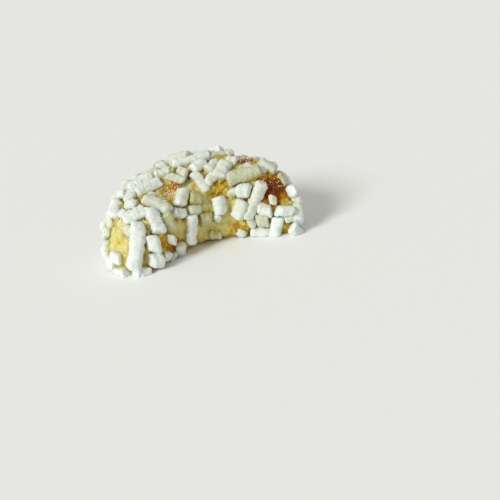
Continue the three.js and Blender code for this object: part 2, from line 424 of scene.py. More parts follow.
def spot_strength(points, rows):
    """How strongly each point belongs to any of the spots, from 0 to the spot's own strength."""
    strength = np.zeros(len(points))
    for along, around, radius, *rest in rows:
        centre = seat_at(along / HALF_BEND, math.radians(around))[0]
        apart = np.linalg.norm(points - centre, axis=1) / radius
        fading = np.exp(-((apart / SPOT_SPREAD) ** SPOT_POWER))
        strength = np.maximum(strength, (rest[0] if rest else 1.0) * fading)
    return strength


def clearances(points):
    """Distances from each point to the sides of the nearest sliver and of the one after it."""
    nearest = np.full(len(points), np.inf)
    second = nearest.copy()
    for sliver in slivers:
        half_run = (sliver["length"] - sliver["width"]) / 2
        offset = points - sliver["centre"]
        run = np.clip(offset @ sliver["direction"], -half_run, half_run)
        apart = np.linalg.norm(offset - run[:, None] * sliver["direction"], axis=1)
        clearance = apart - sliver["width"] / 2
        second = np.minimum(second, np.maximum(nearest, clearance))
        nearest = np.minimum(nearest, clearance)
    return nearest, second


def noise_at(points, spacing, octaves, shift):
    """An uneven pattern's height at each point, moved askew by the shift."""
    move = Vector([shift * way for way in SHIFT_WAY])
    values = (
        noise.fractal(Vector(point) / spacing + move, NOISE_ROUGHNESS, NOISE_STEP, octaves)
        for point in points
    )
    return np.fromiter(values, float, len(points))


def grid_mesh(name, grid):
    """A closed mesh over a grid of points whose first and last rows are each one pole."""
    rows, columns = grid.shape[:2]
    mesh = bpy.data.meshes.new(name)
    points = np.vstack((grid[1:-1].reshape(-1, 3), grid[0].mean(0), grid[-1].mean(0)))
    first, last = len(points) - 2, len(points) - 1
    final_row = (rows - 3) * columns
    faces = []
    for column in range(columns):
        after = (column + 1) % columns
        faces.append((first, after, column))
        faces.append((last, final_row + column, final_row + after))
        for start in range(0, final_row, columns):
            a, b = start + column, start + after
            faces.append((a, b, b + columns, a + columns))
    mesh.from_pydata((points * MM).tolist(), [], faces)
    mesh.update()
    return mesh


def store(mesh, name, values):
    """Keeps one number for each of the mesh's points, for the trees and materials to read."""
    attribute = mesh.attributes.new(name, "FLOAT", "POINT")
    attribute.data.foreach_set("value", np.asarray(values, np.float32))


# Most steps go to the sides and the top: the underside is flat.
step_shares = np.linspace(0, 1, STEPS_AROUND, endpoint=False)
full_turn = (SIDES_FROM, SIDES_TO, SIDES_FROM + 360)
arounds = np.radians(np.interp(step_shares, (0, STEPS_ON_SIDES, 1), full_turn))
alongs = np.sin(np.linspace(-1, 1, STEPS_ALONG) * math.pi / 2)
plain_grid = skin_points(alongs[:, None], arounds[None, :])
turn_around = np.roll(plain_grid, -1, 1) - np.roll(plain_grid, 1, 1)
outward_grid = np.cross(turn_around, np.gradient(plain_grid, axis=0))
# At the poles the direction has no length, and the tiny amount keeps the division from failing.
outward_grid /= np.linalg.norm(outward_grid, axis=-1, keepdims=True) + 1e-9
points, outwards = plain_grid.reshape(-1, 3), outward_grid.reshape(-1, 3)

clearance, second_clearance = clearances(points)
paleness = spot_strength(points, PALE_SPOTS)
crumb_noise = noise_at(points, *CRUMB_NOISE)
torn = smooth_step(*TORN_RANGE, noise_at(points, *TORN_NOISE)) * (1 - paleness * PALE_WHOLENESS)
torn = np.maximum(torn, spot_strength(points, (TORN_SPOT,)))
narrow_gap = smooth_step(*NARROW_GAP, second_clearance)
relief = BULGE * np.exp(-((np.maximum(clearance, 0) / BULGE_REACH) ** 2)) - GAP_DEPTH * narrow_gap
swelling = 1 - PALE_SMOOTHNESS * paleness * (1 - torn) + TORN_COARSENESS * torn
relief += SWELL_HEIGHT * noise_at(points, *SWELL_NOISE) * swelling
relief += crumb_noise * (CRUMB_HEIGHT[0] + CRUMB_HEIGHT[1] * torn)
relief += noise_at(points, *FINE_NOISE) * (FINE_HEIGHT[0] + FINE_HEIGHT[1] * torn)
raised = points + outwards * relief[:, None]
raised[:, 2] = np.maximum(raised[:, 2], 0)

# The parts that stand clear colour first, in ragged patches, and so do the rim on the tray and the
# narrow gaps where butter ran out between two slivers.
wander = np.stack(
    [noise_at(points, WANDER_SPACING, WANDER_OCTAVES, shift) for shift in WANDER_SHIFTS], 1
)
patchy = noise_at(points, *PATCH_NOISE)
patches = PATCH_TOAST * smooth_step(*PATCH_RANGE, patchy)
rim = RIM_TOAST * np.exp(-((points[:, 2] / RIM_HEIGHT) ** 2))
fried = GAP_TOAST * narrow_gap * smooth_step(*FRIED_RANGE, patchy)
everywhere = np.maximum(patches + rim, fried) * (1 - paleness)
toast = np.maximum(spot_strength(points + WANDER * wander, TOASTED_SPOTS), everywhere)
toast = np.clip(toast + CRUMB_TOAST * crumb_noise * smooth_step(*TOASTED_ENOUGH, toast), 0, 1)

dough_mesh = grid_mesh("dough", raised.reshape(STEPS_ALONG, STEPS_AROUND, 3))
# Painted shade: the dough is darkened to gold in the crumb's hollows and next to each sliver.
hollow_shade = smooth_step(*HOLLOW_RANGE, crumb_noise) * (HOLLOW_SHADE_SHARE[0] + HOLLOW_SHADE_SHARE[1] * torn)
crease_shade = np.maximum(smooth_step(*CREASE_SHADE_REACH, clearance), HOLLOW_SHADE_WEIGHT * hollow_shade)
for attribute, values in (("toast", toast), ("crease_shade", crease_shade)):
    ends = values[[0, -1]]
    store(dough_mesh, attribute, np.concatenate((values[STEPS_AROUND:-STEPS_AROUND], ends)))
dough_mesh.shade_smooth()
dough = bpy.data.objects.new("dough", dough_mesh)
bpy.context.scene.collection.objects.link(dough)

# Baked short crust: matt and pale where it is crumb, smoother and glossier where it browned.
baked_crust = empty_material("baked_short_crust")
tree = baked_crust.node_tree
place = add(tree, "ShaderNodeTexCoord").outputs["Object"]
toasted = add(tree, "ShaderNodeAttribute", attribute_name="toast").outputs["Fac"]
crease_shade_share = add(tree, "ShaderNodeAttribute", attribute_name="crease_shade").outputs["Fac"]
mottle = add(
    tree, "ShaderNodeTexNoise",
    {"Vector": place, "Scale": 1 / (MOTTLE_SPACING * MM), "Detail": 4.0},
)
centred_mottle = add(tree, "ShaderNodeMath", {0: mottle, 1: -0.5}, operation="ADD")
mottle_share = add(
    tree, "ShaderNodeMapRange",
    {"Value": toasted, "From Min": 0.05, "From Max": 0.5, "To Min": 0.35, "To Max": 1.1},
)
browning = add(
    tree, "ShaderNodeMath", {0: centred_mottle, 1: mottle_share, 2: toasted},
    operation="MULTIPLY_ADD",
)
crust_colour = add(tree, "ShaderNodeValToRGB", {"Fac": browning})
ramp = crust_colour.color_ramp
for share in CRUST_SHARES[2:]:
    ramp.elements.new(share)
for element, share, code in zip(ramp.elements, CRUST_SHARES, CRUST_COLOURS):
    element.position = share
    element.color = linear(code)
# The painted crease shade multiplies the crust colour towards gold.
crease_shade_weight = add(tree, "ShaderNodeMapRange", {"Value": crease_shade_share, "To Max": 0.85})
dough_colour = add(
    tree, "ShaderNodeMix",
    {"Factor": crease_shade_weight, "A": crust_colour.outputs["Color"], "B": linear(CREASE_SHADE_GOLD)},
    data_type="RGBA", blend_type="MULTIPLY",
)
gloss = add(
    tree, "ShaderNodeMapRange",
    {"Value": browning, "From Min": 0.3, "From Max": 0.9, "To Min": 0.6, "To Max": 0.24},
)
crumb = add(
    tree, "ShaderNodeTexNoise",
    {"Vector": place, "Scale": 1 / (CRUMB_SPACING * MM), "Detail": 5.0},
)
crumb_bump = add(
    tree, "ShaderNodeBump", {"Height": crumb, "Strength": 0.5, "Distance": CRUMB_DEPTH * MM}
)
crust = add(
    tree, "ShaderNodeBsdfPrincipled",
    {
        "Base Color": dough_colour, "Roughness": gloss, "Normal": crumb_bump,
        "Subsurface Weight": 0.3, "Subsurface Radius": (1.0, 0.85, 0.35),
        "Subsurface Scale": LIGHT_REACH * MM, "IOR": 1.45, "Specular IOR Level": 0.22,
    },
)
add(tree, "ShaderNodeOutputMaterial", {"Surface": crust})
dough_mesh.materials.append(baked_crust)
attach(dough, "root")
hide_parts("crescent_cookie")

# ---- The nut slivers ----------------------------------------------------------------------------
# Each is a stubby length of blanched nut with a squarish section, cut blunt by a knife and dried in
# the oven until its sides wrinkled. They stay white, with a yellow that is partly butter soaked in
# and
# partly painted shade: the dough's yellow bounce light near the dough, and shade on slivers in
# shadow.

FULLNESS = 1.08  # the swept section's half width, over the sliver's
CUT_ALLOWANCE = 0.15  # how far a cut end's crumbly rim reaches past the sliver's length
SLIVER_FLATNESS = 0.9
CORNER_ROUNDING = 0.76  # of the section, as a share of the half width
CORNER_STEPS = 5
RING_SPACING = 0.3
FIRST_RING = 1.1  # the first full one, from the cut end
END_ROUNDING = (  # how far in from the cut end, and the share of the full radius there
    (0, 0.02), (0.04, 0.52), (0.12, 0.72), (0.28, 0.86), (0.52, 0.95), (0.9, 1.0),
)
SHORTEST_FULL_ENDS = 2.6  # shorter slivers have their ends' rounding shrunk
MOST_TAPER = 0.1  # of the half width, from the middle to an end
MOST_BOW = 0.04  # of the length
MOST_ROLL = 0.7  # of the section about the axis, in radians
CUT_SLOPES = (0.3, 0.4)  # the most that a cut end leans, outwards and sideways
CUT_DEPTH = 0.7  # how far the lean reaches in from the end, as a share of the width
WRINKLE_SPACING = 0.85
WRINKLE_HEIGHT = 0.44
WRINKLES_ROUND = 0.5  # round the sliver for each one along it
DRYNESS = (0.45, 1.35)  # the wrinkles' share on the plumpest and on the driest sliver
LUMP_SPACING = 2.4
LUMP_HEIGHT = 0.44
PATTERN_SHIFT = (17.0, 31.0, 47.0)  # tells one sliver's wrinkles from another's
BLOTCH_SPACING, FLECK_SPACING = 2.4, 2.6
GRAIN_SPACING, GRAIN_DEPTH = 0.4, 0.18
# Painted shade and bounce light: the nut turns butter yellow near the dough, standing in for the
# dough's yellow bounce light and its shade, and on slivers in shadow; part of it is butter soaked
# in.
BUTTER_SHADE_REACH, BUTTER_SHADE_FADING = 2.2, 3.0  # how far from the dough, and how fast it fades
BUTTER_SHADE_AT_DOUGH, BUTTER_SHADE_PER_SLIVER = 0.65, 0.85
NUT_LIGHT_REACH = 0.9
NUT_WHITE = "#e6edeb"
NUT_CREAM = "#dcdfca"
BUTTER_SHADE_YELLOW = "#aea85b"
TOASTED_FLECK = "#c07a1c"
# Painted shade: the grey that the grain's pits take where sugar lies.
PIT_SHADE_GREY = "#b9c0ae"


def ring_places(length):
    """How far along the sliver each ring stands, and the share of its full radius there."""
    shrunk = min(1, length / SHORTEST_FULL_ENDS)
    ends = np.array(END_ROUNDING) * (shrunk, 1)
    first = FIRST_RING * shrunk
    full_rings = max(2, round((length - 2 * first) / RING_SPACING))
    middle = np.linspace(first, length - first, full_rings)
    far = np.concatenate((ends[:, 0], middle, length - ends[::-1, 0]))
    return far - length / 2, np.concatenate((ends[:, 1], np.ones(len(middle)), ends[::-1, 1]))


def guide_rows(sliver, draw):
    """The rings of one sliver: place, radius and directions, a little bowed and cut askew."""
    far, share = ring_places(sliver["length"] + 2 * CUT_ALLOWANCE)
    half = sliver["length"] / 2 + CUT_ALLOWANCE
    sideways = np.cross(sliver["outward"], sliver["direction"])
    taper = 1 + draw.uniform(-MOST_TAPER, MOST_TAPER) * far / half
    bow = draw.uniform(-MOST_BOW, MOST_BOW) * sliver["length"] * (1 - (far / half) ** 2)
    places = sliver["centre"] + np.outer(far, sliver["direction"]) + np.outer(bow, sideways)
    roll = draw.uniform(-MOST_ROLL, MOST_ROLL)
    face = sliver["outward"] * math.cos(roll) + sideways * math.sin(roll)
    lean_out, lean_aside = (draw.uniform(-most, most) for most in CUT_SLOPES)
    slope = sliver["outward"] * lean_out + sideways * lean_aside
    near_end = smooth_step(half - sliver["width"] * CUT_DEPTH, half, np.abs(far))
    count = len(far)
    return {
        "place": places * MM,
        "half_width": FULLNESS * sliver["width"] / 2 * share * taper * MM,
        "direction": np.tile(sliver["direction"], (count, 1)),
        "outward": np.tile(sliver["outward"], (count, 1)),
        "face": np.tile(face, (count, 1)),
        "slant": np.outer(near_end, slope),
        "far": far * MM,
        "variety": np.full(count, draw.uniform(0, 1)),
        "soaked": np.full(count, sliver["soaked"]),
    }


draw = np.random.default_rng(SEED)
guides = [guide_rows(sliver, draw) for sliver in slivers]
edges = []
start = 0
for guide in guides:
    count = len(guide["far"])
    edges += [(start + i, start + i + 1) for i in range(count - 1)]
    start += count
all_guides = {name: np.concatenate([guide[name] for guide in guides]) for name in guides[0]}
guide_mesh = bpy.data.meshes.new("sliver_guides")
guide_mesh.from_pydata(all_guides["place"].tolist(), edges, [])
for name in ("half_width", "far", "variety", "soaked"):
    store(guide_mesh, name, all_guides[name])
for name in ("direction", "outward", "face", "slant"):
    attribute = guide_mesh.attributes.new(name, "FLOAT_VECTOR", "POINT")
    attribute.data.foreach_set("vector", all_guides[name].astype(np.float32).ravel())
nut_slivers = bpy.data.objects.new("nut_slivers", guide_mesh)
bpy.context.scene.collection.objects.link(nut_slivers)

# Blanched nut: matt and slightly waxy, and light passes a millimetre or so into it.
blanched_nut = empty_material("blanched_dried_nut")
tree = blanched_nut.node_tree
place = add(tree, "ShaderNodeTexCoord").outputs["Object"]
clear = add(tree, "ShaderNodeAttribute", attribute_name="clear_of_dough").outputs["Fac"]
soaked = add(tree, "ShaderNodeAttribute", attribute_name="soaked").outputs["Fac"]
blotch = add(
    tree, "ShaderNodeTexNoise",
    {"Vector": place, "Scale": 1 / (BLOTCH_SPACING * MM), "Detail": 3.0},
)
flesh = add(
    tree, "ShaderNodeMapRange",
    {"Value": blotch, "From Min": 0.45, "From Max": 0.75, "To Max": 0.6},
)
flesh_colour = add(
    tree, "ShaderNodeMix", {"Factor": flesh, "A": linear(NUT_WHITE), "B": linear(NUT_CREAM)},
    data_type="RGBA",
)
# Painted shade and bounce light, partly butter: the colour goes to butter yellow near the dough and
# on slivers in shadow.
closeness = add(
    tree, "ShaderNodeMapRange",
    {"Value": clear, "From Min": 0.0, "From Max": BUTTER_SHADE_REACH * MM, "To Min": 1.0, "To Max": 0.0},
)
nearly_touching = add(tree, "ShaderNodeMath", {0: closeness, 1: BUTTER_SHADE_FADING}, operation="POWER")
butter_shade_near_dough = add(
    tree, "ShaderNodeMath", {0: nearly_touching, 1: BUTTER_SHADE_AT_DOUGH}, operation="MULTIPLY"
)
butter_shade_share = add(
    tree, "ShaderNodeMath", {0: soaked, 1: BUTTER_SHADE_PER_SLIVER, 2: butter_shade_near_dough},
    operation="MULTIPLY_ADD", use_clamp=True,
)
butter_and_shade_colour = add(
    tree, "ShaderNodeMix", {"Factor": butter_shade_share, "A": flesh_colour, "B": linear(BUTTER_SHADE_YELLOW)},
    data_type="RGBA",
)
fleck = add(
    tree, "ShaderNodeTexNoise",
    {"Vector": place, "Scale": 1 / (FLECK_SPACING * MM), "Detail": 0.5},
)
flecked = add(
    tree, "ShaderNodeMapRange",
    {"Value": fleck, "From Min": 0.79, "From Max": 0.82, "To Max": 0.85},
)
nut_colour = add(
    tree, "ShaderNodeMix", {"Factor": flecked, "A": butter_and_shade_colour, "B": linear(TOASTED_FLECK)},
    data_type="RGBA",
)
grain = add(
    tree, "ShaderNodeTexNoise",
    {"Vector": place, "Scale": 1 / (GRAIN_SPACING * MM), "Detail": 3.0},
)
grain_bump = add(
    tree, "ShaderNodeBump", {"Height": grain, "Strength": 0.6, "Distance": GRAIN_DEPTH * MM}
)
# Painted shade: the grain's pits turn grey on the sugared tops, a dotted shade.
pit_shade = add(
    tree, "ShaderNodeMapRange",
    {"Value": grain, "From Min": 0.55, "From Max": 0.38, "To Min": 0.1, "To Max": 1.4},
)
dusted = add(tree, "ShaderNodeAttribute", attribute_name="sugared").outputs["Fac"]
dusted_pit_shade = add(tree, "ShaderNodeMath", {0: pit_shade, 1: dusted}, operation="MULTIPLY")
pit_shaded_colour = add(
    tree, "ShaderNodeMix", {"Factor": dusted_pit_shade, "A": nut_colour, "B": linear(PIT_SHADE_GREY)},
    data_type="RGBA",
)
nut = add(
    tree, "ShaderNodeBsdfPrincipled",
    {
        "Base Color": pit_shaded_colour, "Roughness": 0.6, "Normal": grain_bump,
        "Subsurface Weight": 0.35, "Subsurface Radius": (1.0, 0.9, 0.6),
        "Subsurface Scale": NUT_LIGHT_REACH * MM, "IOR": 1.46, "Specular IOR Level": 0.35,
    },
)
add(tree, "ShaderNodeOutputMaterial", {"Surface": nut})


def new_group(name, inputs):
    """An empty geometry tree, its input node, and the identifier of each named input."""
    group = bpy.data.node_groups.new(name, "GeometryNodeTree")
    identifiers = {}
    for label, kind in {"Geometry": "Geometry", **inputs}.items():
        socket = group.interface.new_socket(label, in_out="INPUT", socket_type="NodeSocket" + kind)
        identifiers[label] = socket.identifier
    group.interface.new_socket("Geometry", in_out="OUTPUT", socket_type="NodeSocketGeometry")
    return group, add(group, "NodeGroupInput").outputs, identifiers


def grow(carrier, group, identifiers, values):
    """Runs a node tree on an object and leaves its result as the object's own plain mesh."""
    modifier = carrier.modifiers.new(group.name, "NODES")
    modifier.node_group = group
    for label, value in values.items():
        modifier[identifiers[label]] = value
    evaluated = carrier.evaluated_get(bpy.context.evaluated_depsgraph_get())
    result = bpy.data.meshes.new_from_object(evaluated)
    carrier.modifiers.remove(modifier)
    carrier.data = result
    return result


# The tree sweeps the section along every guide, cuts the ends askew and wrinkles the sides.
sweep, given, sweep_inputs = new_group("sweep_cut_slivers", {
    "Dough": "Object", "Flatness": "Float", "Corner Rounding": "Float",
    "Wrinkle Spacing": "Float", "Wrinkle Height": "Float",
    "Lump Spacing": "Float", "Lump Height": "Float", "Finish": "Material",
})
kept = {
    name: add(sweep, "GeometryNodeInputNamedAttribute", {"Name": name}, data_type=kind)
    for name, kind in (
        ("half_width", "FLOAT"), ("far", "FLOAT"), ("variety", "FLOAT"), ("face", "FLOAT_VECTOR"),
        ("direction", "FLOAT_VECTOR"), ("outward", "FLOAT_VECTOR"), ("slant", "FLOAT_VECTOR"),
        ("axis", "FLOAT_VECTOR"),
    )
}
position = add(sweep, "GeometryNodeInputPosition")
curves = add(sweep, "GeometryNodeMeshToCurve", {"Mesh": given["Geometry"]})
with_axis = add(
    sweep, "GeometryNodeStoreNamedAttribute",
    {"Geometry": curves, "Name": "axis", "Value": position},
    data_type="FLOAT_VECTOR", domain="POINT",
)
faced = add(
    sweep, "GeometryNodeSetCurveNormal", {"Curve": with_axis, "Normal": kept["face"]},
    mode="FREE",
)
square = add(sweep, "GeometryNodeCurvePrimitiveQuadrilateral", {"Width": 2.0, "Height": 2.0})
section = add(
    sweep, "GeometryNodeFilletCurve",
    {
        "Curve": square, "Count": CORNER_STEPS, "Radius": given["Corner Rounding"],
        "Limit Radius": True,
    },
    mode="POLY",
)
swept = add(
    sweep, "GeometryNodeCurveToMesh",
    {"Curve": faced, "Profile Curve": section, "Scale": kept["half_width"], "Fill Caps": True},
)
offset = add(sweep, "ShaderNodeVectorMath", {0: position, 1: kept["axis"]}, operation="SUBTRACT")
thickness = add(
    sweep, "ShaderNodeVectorMath", {0: offset, 1: kept["outward"]}, operation="DOT_PRODUCT"
)
loss = add(sweep, "ShaderNodeMath", {0: given["Flatness"], 1: 1.0}, operation="SUBTRACT")
squeeze = add(sweep, "ShaderNodeMath", {0: thickness, 1: loss}, operation="MULTIPLY")
squeezed = add(
    sweep, "ShaderNodeVectorMath", {0: kept["outward"], "Scale": squeeze}, operation="SCALE"
)
askew = add(sweep, "ShaderNodeVectorMath", {0: offset, 1: kept["slant"]}, operation="DOT_PRODUCT")
skewed = add(
    sweep, "ShaderNodeVectorMath", {0: kept["direction"], "Scale": askew}, operation="SCALE"
)
apart = add(
    sweep, "ShaderNodeVectorMath", {0: PATTERN_SHIFT, "Scale": kept["variety"]}, operation="SCALE"
)
fine = add(
    sweep, "ShaderNodeMath", {0: WRINKLES_ROUND, 1: given["Wrinkle Spacing"]}, operation="DIVIDE"
)
round_place = add(sweep, "ShaderNodeVectorMath", {0: offset, "Scale": fine}, operation="SCALE")
far_place = add(
    sweep, "ShaderNodeMath", {0: kept["far"], 1: given["Wrinkle Spacing"]}, operation="DIVIDE"
)
along_place = add(
    sweep, "ShaderNodeVectorMath", {0: kept["direction"], "Scale": far_place}, operation="SCALE"
)
wrinkle_place = add(
    sweep, "ShaderNodeVectorMath", {0: round_place, 1: along_place}, operation="ADD"
)
coarse = add(sweep, "ShaderNodeMath", {0: 1.0, 1: given["Lump Spacing"]}, operation="DIVIDE")
lump_place = add(sweep, "ShaderNodeVectorMath", {0: position, "Scale": coarse}, operation="SCALE")
heights = []
for spread, height in ((wrinkle_place, "Wrinkle Height"), (lump_place, "Lump Height")):
    spot = add(sweep, "ShaderNodeVectorMath", {0: spread, 1: apart}, operation="ADD")
    waves = add(sweep, "ShaderNodeTexNoise", {"Vector": spot, "Scale": 1.0, "Detail": 1.5})
    centred = add(sweep, "ShaderNodeMapRange", {"Value": waves, "To Min": -1.0, "To Max": 1.0})
    raised_by = add(sweep, "ShaderNodeMath", {0: centred, 1: given[height]}, operation="MULTIPLY")
    heights.append(raised_by)
dryness = add(
    sweep, "ShaderNodeMapRange",
    {"Value": kept["variety"], "To Min": DRYNESS[0], "To Max": DRYNESS[1]},
)
relief_height = add(
    sweep, "ShaderNodeMath", {0: heights[0], 1: dryness, 2: heights[1]}, operation="MULTIPLY_ADD"
)
normal = add(sweep, "GeometryNodeInputNormal")
relieved = add(
    sweep, "ShaderNodeVectorMath", {0: normal, "Scale": relief_height}, operation="SCALE"
)
cut = add(sweep, "ShaderNodeVectorMath", {0: squeezed, 1: skewed}, operation="ADD")
moved = add(sweep, "ShaderNodeVectorMath", {0: cut, 1: relieved}, operation="ADD")
shaped = add(sweep, "GeometryNodeSetPosition", {"Geometry": swept, "Offset": moved})
dough_surface = add(sweep, "GeometryNodeObjectInfo", {"Object": given["Dough"]}).outputs["Geometry"]
nearness = add(
    sweep, "GeometryNodeProximity", {0: dough_surface}, target_element="FACES"
).outputs["Distance"]
measured = add(
    sweep, "GeometryNodeStoreNamedAttribute",
    {"Geometry": shaped, "Name": "clear_of_dough", "Value": nearness},
    data_type="FLOAT", domain="POINT",
)
smooth = add(sweep, "GeometryNodeSetShadeSmooth", {"Geometry": measured})
whole = add(sweep, "GeometryNodeRealizeInstances", {"Geometry": smooth})
finished = add(sweep, "GeometryNodeSetMaterial", {"Geometry": whole, "Material": given["Finish"]})
add(sweep, "NodeGroupOutput", {"Geometry": finished})


def cut_at_table(mesh):
    """Takes off what reaches below the table and closes the cuts."""
    shape = bmesh.new()
    shape.from_mesh(mesh)
    everything = shape.verts[:] + shape.edges[:] + shape.faces[:]
    bmesh.ops.bisect_plane(
        shape, geom=everything, dist=1e-7, plane_co=(0, 0, 0), plane_no=(0, 0, 1), clear_inner=True
    )
    bmesh.ops.holes_fill(shape, edges=[edge for edge in shape.edges if edge.is_boundary])
    shape.to_mesh(mesh)
    shape.free()


sliver_mesh = grow(nut_slivers, sweep, sweep_inputs, {
    "Dough": dough, "Flatness": SLIVER_FLATNESS, "Corner Rounding": CORNER_ROUNDING,
    "Wrinkle Spacing": WRINKLE_SPACING * MM, "Wrinkle Height": WRINKLE_HEIGHT * MM,
    "Lump Spacing": LUMP_SPACING * MM, "Lump Height": LUMP_HEIGHT * MM, "Finish": blanched_nut,
})
cut_at_table(sliver_mesh)
for name in ("half_width", "far", "variety", "direction", "outward", "face", "slant", "axis"):
    sliver_mesh.attributes.remove(sliver_mesh.attributes[name])
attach(nut_slivers, "root")
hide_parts("crescent_cookie")

# ---- Powdered sugar and crumbs ------------------------------------------------------------------
# Sugar was sifted over the warm cookie: fine white grains cling to whatever faces up and show most
# on the browned patches. Small crumbs of its own dough stick where the skin tore.

SUGAR_GRAINS = (0.16, 0.5)  # smallest and largest
CRUMBS = (0.5, 1.3)
SUGAR_DENSITY = 4.5  # grains a square millimetre where it lies thickest
CRUMB_DENSITY = 0.5
SUGAR_ROUGHNESS, CRUMB_ROUGHNESS = 0.9, 1.1
LUMPS_ACROSS = 2.3  # a grain's own lumps
SCATTER_SEED = 417
FULL_TURN = (6.283, 6.283, 6.283)  # radians about each axis
FACING_UP = (-0.1, 0.7)  # the normal's rise: where sugar begins to cling, and where all of it does
CLINGING_TO_DOUGH, CLINGING_TO_SLIVERS = 1.0, 0.55
DRIFT_NOISE, DRIFT_RANGE, DRIFT_THICKNESS = (3.0, 2, 21.0), (0.0, 0.5), 0.35
SUGAR_LEVELS, CRUMB_LEVELS = (0.4, 1.5), (1.2, 4)  # above the table: the lowest, and all the rest
CRUMBLY = (0.5, 1.0)  # how torn the dough has to be
CRYSTAL_SPACING, CRYSTAL_DEPTH = 0.09, 0.05
SUGARED_SPOTS = (  # degrees along the bend, degrees round the roll, radius, how thickly
    (37, 80, 6.0, 0.8),
    (-28, 120, 5.0, 1.0),
    (20, 145, 5.0, 0.2),
    (24, 118, 4.5, 0.5),
    (42, 120, 6.0, 0.6),
    (-42, 95, 9.0, 0.8),
    (-60, 95, 8.0, 0.7),
    (-8, 131, 4.0, 0.7),
)
SUGAR_WHITE = "#f4f5ee"


def lumpy_ball(name, subdivisions, roughness, seed):
    """One irregular grain, about one unit across."""
    shape = bmesh.new()
    bmesh.ops.create_icosphere(shape, subdivisions=subdivisions, radius=0.5)
    for vertex in shape.verts:
        swelling = noise.noise(vertex.co * LUMPS_ACROSS + Vector((seed, 0, 0)))
        vertex.co *= 1 + roughness * swelling
    mesh = bpy.data.meshes.new(name)
    shape.to_mesh(mesh)
    shape.free()
    return bpy.data.objects.new(name, mesh)


def upward_share(mesh):
    """How much of the sugar that falls on each of the mesh's points stays there."""
    normals = np.empty(len(mesh.vertices) * 3, np.float32)
    mesh.vertex_normals.foreach_get("vector", normals)
    return smooth_step(*FACING_UP, normals.reshape(-1, 3)[:, 2])


def vertex_places(mesh):
    """The mesh's points, in millimetres."""
    places = np.empty(len(mesh.vertices) * 3, np.float32)
    mesh.vertices.foreach_get("co", places)
    return places.reshape(-1, 3) / MM


# The tree scatters grains over one or two surfaces, as thickly as the named attribute there says.
scatter, given, scatter_inputs = new_group("scatter_grains", {
    "Surface": "Object", "Second Surface": "Object", "Grain": "Object", "Where": "String",
    "Density": "Float", "Smallest": "Float", "Largest": "Float",
    "Seed": "Int", "Finish": "Material",
})
surfaces = add(scatter, "GeometryNodeJoinGeometry")
for label in ("Second Surface", "Surface"):
    surface = add(scatter, "GeometryNodeObjectInfo", {"Object": given[label]}).outputs["Geometry"]
    scatter.links.new(surface, surfaces.inputs[0])
strength = add(
    scatter, "GeometryNodeInputNamedAttribute", {"Name": given["Where"]}, data_type="FLOAT"
)
thickly = add(scatter, "ShaderNodeMath", {0: strength, 1: given["Density"]}, operation="MULTIPLY")
spots = add(
    scatter, "GeometryNodeDistributePointsOnFaces",
    {"Mesh": surfaces, "Density": thickly, "Seed": given["Seed"]}, distribute_method="RANDOM",
)
turns = add(scatter, "FunctionNodeRandomValue", {"Max": FULL_TURN}, data_type="FLOAT_VECTOR")
turned = add(scatter, "FunctionNodeEulerToRotation", {"Euler": turns})
size = add(
    scatter, "FunctionNodeRandomValue",
    {"Min": given["Smallest"], "Max": given["Largest"], "Seed": given["Seed"]},
    data_type="FLOAT_VECTOR",
)
grain_shape = add(scatter, "GeometryNodeObjectInfo", {"Object": given["Grain"]}).outputs["Geometry"]
grains = add(
    scatter, "GeometryNodeInstanceOnPoints",
    {"Points": spots, "Instance": grain_shape, "Rotation": turned, "Scale": size},
)
whole = add(scatter, "GeometryNodeRealizeInstances", {"Geometry": grains})
finished = add(scatter, "GeometryNodeSetMaterial", {"Geometry": whole, "Material": given["Finish"]})
add(scatter, "NodeGroupOutput", {"Geometry": finished})

# Powdered sugar: dead white and matt, each grain a loose clump of crystals.
sifted_sugar = empty_material("sifted_powdered_sugar")
tree = sifted_sugar.node_tree
place = add(tree, "ShaderNodeTexCoord").outputs["Object"]
crystals = add(
    tree, "ShaderNodeTexNoise",
    {"Vector": place, "Scale": 1 / (CRYSTAL_SPACING * MM), "Detail": 2.0},
)
crystal_bump = add(
    tree, "ShaderNodeBump", {"Height": crystals, "Strength": 0.5, "Distance": CRYSTAL_DEPTH * MM}
)
shade = add(tree, "ShaderNodeMapRange", {"Value": crystals, "To Min": 0.55, "To Max": 0.8})
sugar = add(
    tree, "ShaderNodeBsdfPrincipled",
    {"Base Color": linear(SUGAR_WHITE), "Roughness": shade, "Normal": crystal_bump},
)
add(tree, "ShaderNodeOutputMaterial", {"Surface": sugar})

for mesh, clinging in ((dough_mesh, CLINGING_TO_DOUGH), (sliver_mesh, CLINGING_TO_SLIVERS)):
    places = vertex_places(mesh)
    drifts = smooth_step(*DRIFT_RANGE, noise_at(places, *DRIFT_NOISE)) * DRIFT_THICKNESS
    thickness = np.maximum(spot_strength(places, SUGARED_SPOTS), drifts)
    clear_of_table = smooth_step(*SUGAR_LEVELS, places[:, 2])
    store(mesh, "sugared", clinging * thickness * upward_share(mesh) * clear_of_table)
torn_share = smooth_step(*CRUMBLY, np.concatenate((torn[STEPS_AROUND:-STEPS_AROUND], [0, 0])))
crumb_level = smooth_step(*CRUMB_LEVELS, vertex_places(dough_mesh)[:, 2])
store(dough_mesh, "crumbed", torn_share * crumb_level)

